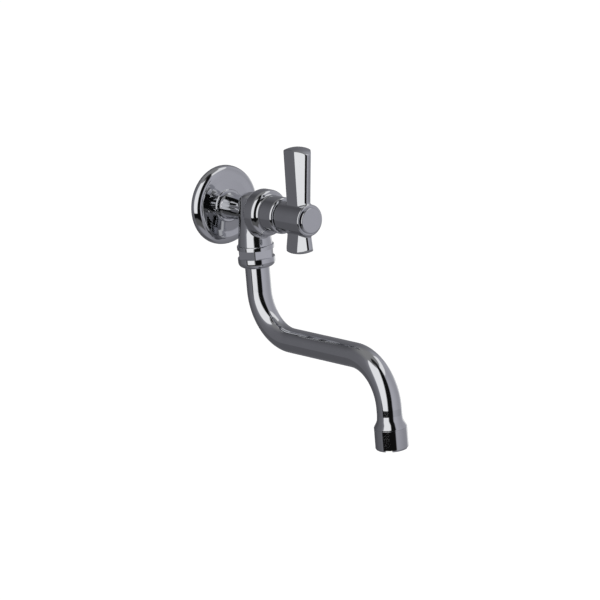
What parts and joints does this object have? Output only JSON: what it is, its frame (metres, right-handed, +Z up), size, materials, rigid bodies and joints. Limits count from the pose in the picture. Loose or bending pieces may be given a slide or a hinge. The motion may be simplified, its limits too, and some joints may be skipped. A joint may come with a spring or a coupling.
{
  "type": "wall-mounted kitchen tap",
  "caption": "Wall tap for a single supply with a round rosette, bell-shaped body, two-armed quarter-turn handle and a swivelling S-shaped spout with aerator.",
  "frame": {"origin": "where the axis of the threaded inlet tail meets the plane of the finished wall", "axes": "the tap reaches out from the wall along -Y, +Z is up, +X is to the right for someone who stands before it"},
  "size_m": [0.0584, 0.1978, 0.2081],
  "materials": {
    "chrome": "polished chrome plating on brass",
    "brass": "turned brass",
    "rubber": "matt nitrile rubber",
    "ceramic": "lapped alumina",
    "steel": "stainless steel",
    "plastic": "white moulded acetal"
  },
  "bodies": {
    "tap_body": {"valve_body": "chrome", "wall_rosette": "chrome", "rosette_oring": "rubber", "union_nut": "chrome", "slide_ring": "plastic", "seat_seal": "rubber", "headwork_body": "brass", "headwork_gasket": "rubber", "cover_oring": "rubber", "bonnet_cover": "chrome", "fixed_disc": "ceramic"},
    "handle_unit": {"handle": "chrome", "index_cap": "chrome", "spline_insert": "plastic", "handle_screw": "steel", "spindle": "brass", "spindle_orings": "rubber", "thrust_washer": "plastic", "stop_ring": "brass", "spindle_circlip": "steel", "moving_disc": "ceramic"},
    "spout_unit": {"spout_tube": "chrome", "spout_ferrule": "brass", "spout_orings": "rubber", "outlet_socket": "chrome", "aerator_housing": "chrome", "aerator_washer": "rubber", "aerator_screen": "steel", "aerator_insert": "plastic"}
  },
  "joints": [
    {"name": "handle_turn", "type": "hinge", "parent": "tap_body", "child": "handle_unit", "pos_m": [0, -0.0894, 0], "axis": [0, -1, 0], "range_deg": [0, 90]},
    {"name": "spout_swivel", "type": "hinge", "parent": "tap_body", "child": "spout_unit", "pos_m": [0, -0.0355, 0], "axis": [0, 0, 1], "range_deg": [-98, 98]}
  ]
}
